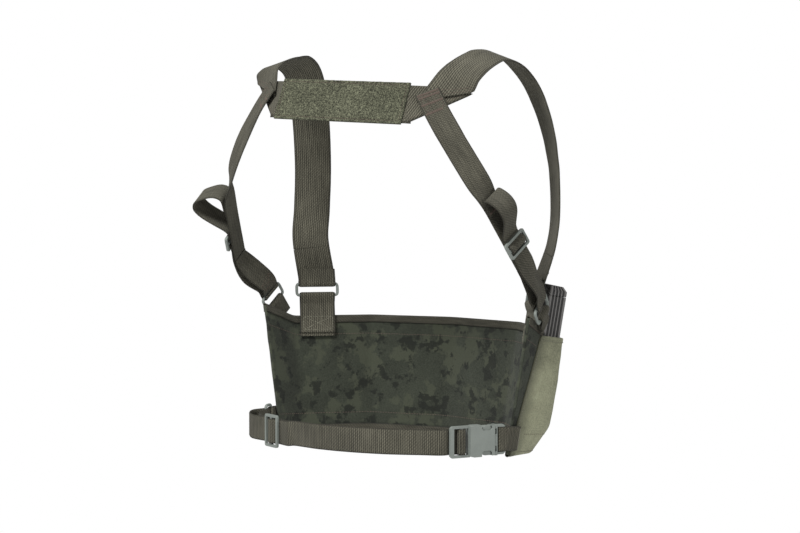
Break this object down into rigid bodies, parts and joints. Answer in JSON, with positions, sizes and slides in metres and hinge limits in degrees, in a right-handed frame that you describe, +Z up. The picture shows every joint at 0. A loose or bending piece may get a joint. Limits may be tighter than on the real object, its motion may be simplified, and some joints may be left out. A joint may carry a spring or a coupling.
{
  "type": "load-bearing chest rig",
  "caption": "Webbing chest rig with an H harness, loop-faced yoke panel, side tri-glides, wrap-around pouch panel with open-top magazine pouches, and a back belt with a side-release buckle.",
  "frame": {"origin": "on the wearer's centre line at the height of the middle of the back belt, inside the torso space", "axes": "+X towards the wearer's right hand, +Y the way the wearer faces, +Z up"},
  "size_m": [0.3755, 0.245, 0.4039],
  "materials": {
    "webbing": "olive grey ribbed webbing, matt",
    "loop_pile": "olive loop pile, matt",
    "panel_fabric": "dark olive woven fabric, matt",
    "pouch_fabric": "lighter olive woven fabric, matt",
    "foliage_plastic": "moulded grey green plastic, slight sheen",
    "magazine_polymer": "dark grey ribbed polymer, satin"
  },
  "bodies": {
    "rig": {"belt_anchor_left": "webbing", "belt_anchor_right": "webbing", "belt_inner_run": "webbing", "belt_outer_run": "webbing", "belt_strap": "webbing", "binding_bottom": "webbing", "binding_top": "webbing", "buckle_plug": "foliage_plastic", "chest_panel": "panel_fabric", "diagonal_strap_left": "webbing", "diagonal_strap_right": "webbing", "front_strap_end_left": "webbing", "front_strap_end_right": "webbing", "front_tab_left": "webbing", "front_tab_right": "webbing", "inner_run_left": "webbing", "inner_run_right": "webbing", "loop_panel": "loop_pile", "outer_run_left": "webbing", "outer_run_right": "webbing", "pouch_inner_left": "pouch_fabric", "pouch_inner_right": "pouch_fabric", "pouch_outer_left": "pouch_fabric", "pouch_outer_right": "pouch_fabric", "shoulder_strap_left": "webbing", "shoulder_strap_right": "webbing", "side_tab_left": "webbing", "side_tab_right": "webbing", "slack_loop_left": "webbing", "slack_loop_right": "webbing", "yoke_webbing": "webbing"},
    "buckle_socket": {"buckle_socket": "foliage_plastic", "buckle_webbing": "webbing"},
    "buckle_prong_upper": {"buckle_prong_upper": "foliage_plastic"},
    "buckle_prong_lower": {"buckle_prong_lower": "foliage_plastic"},
    "side_glide_right": {"side_glide_right": "foliage_plastic", "glide_webbing_right": "webbing"},
    "side_glide_left": {"side_glide_left": "foliage_plastic", "glide_webbing_left": "webbing"},
    "belt_glide": {"belt_glide": "foliage_plastic", "belt_glide_webbing": "webbing"},
    "side_ring_right": {"side_ring_right": "foliage_plastic"},
    "side_ring_left": {"side_ring_left": "foliage_plastic"},
    "front_ring_right": {"front_ring_right": "foliage_plastic"},
    "front_ring_left": {"front_ring_left": "foliage_plastic"},
    "belt_ring": {"belt_ring": "foliage_plastic"},
    "magazine_right": {"magazine_body_right": "magazine_polymer", "magazine_floor_plate_right": "magazine_polymer"}
  },
  "joints": [
    {"name": "buckle_release", "type": "slide", "parent": "rig", "child": "buckle_socket", "axis": [-0.4958, -0.8685, 0], "range_m": [0, 0.034], "deforming": ["belt_strap", "buckle_prong_upper", "buckle_prong_lower"]},
    {"name": "prong_upper_flex", "type": "hinge", "parent": "rig", "child": "buckle_prong_upper", "pos_m": [0.13587, -0.0221, 0.008], "axis": [0.8685, -0.4958, 0], "range_deg": [0, 9], "stiffness_Nm_per_rad": 0.05},
    {"name": "prong_lower_flex", "type": "hinge", "parent": "rig", "child": "buckle_prong_lower", "pos_m": [0.13587, -0.0221, -0.008], "axis": [-0.8685, 0.4958, 0], "range_deg": [0, 9], "stiffness_Nm_per_rad": 0.05},
    {"name": "side_glide_right_adjust", "type": "slide", "parent": "rig", "child": "side_glide_right", "axis": [0.215, 0.5176, -0.8282], "range_m": [-0.006, 0.012], "deforming": ["outer_run_right", "slack_loop_right"]},
    {"name": "side_glide_left_adjust", "type": "slide", "parent": "rig", "child": "side_glide_left", "axis": [-0.215, 0.5176, -0.8282], "range_m": [-0.006, 0.012], "deforming": ["outer_run_left", "slack_loop_left"]},
    {"name": "belt_glide_adjust", "type": "slide", "parent": "rig", "child": "belt_glide", "axis": [-0.9207, 0.3903, 0], "range_m": [-0.014, 0.014], "deforming": ["belt_strap", "belt_outer_run"]},
    {"name": "side_ring_right_swing", "type": "hinge", "parent": "rig", "child": "side_ring_right", "pos_m": [0.16387, 0.02723, 0.12046], "axis": [-0.0825, 0.7837, 0.6157], "range_deg": [-12, 18], "deforming": ["outer_run_right", "inner_run_right"]},
    {"name": "side_ring_left_swing", "type": "hinge", "parent": "rig", "child": "side_ring_left", "pos_m": [-0.16387, 0.02723, 0.12046], "axis": [0.0825, 0.7837, 0.6157], "range_deg": [-18, 12], "deforming": ["outer_run_left", "inner_run_left"]},
    {"name": "front_ring_right_swing", "type": "hinge", "parent": "rig", "child": "front_ring_right", "pos_m": [0.13302, 0.06098, 0.12656], "axis": [-0.7071, 0.7071, 0], "range_deg": [-18, 18], "deforming": ["front_strap_end_right"]},
    {"name": "front_ring_left_swing", "type": "hinge", "parent": "rig", "child": "front_ring_left", "pos_m": [-0.13302, 0.06098, 0.12656], "axis": [0.7071, 0.7071, 0], "range_deg": [-18, 18], "deforming": ["front_strap_end_left"]},
    {"name": "belt_ring_swing", "type": "hinge", "parent": "rig", "child": "belt_ring", "pos_m": [-0.14399, -0.00878, -0.001], "axis": [0, 0, 1], "range_deg": [-15, 15], "deforming": ["belt_outer_run", "belt_inner_run"]},
    {"name": "magazine_draw", "type": "slide", "parent": "rig", "child": "magazine_right", "axis": [0.1143, 0.1143, 0.9869], "range_m": [0, 0.12]}
  ],
  "couplings": [
    {"joint": "prong_lower_flex", "follows": "prong_upper_flex", "ratio": 1}
  ]
}
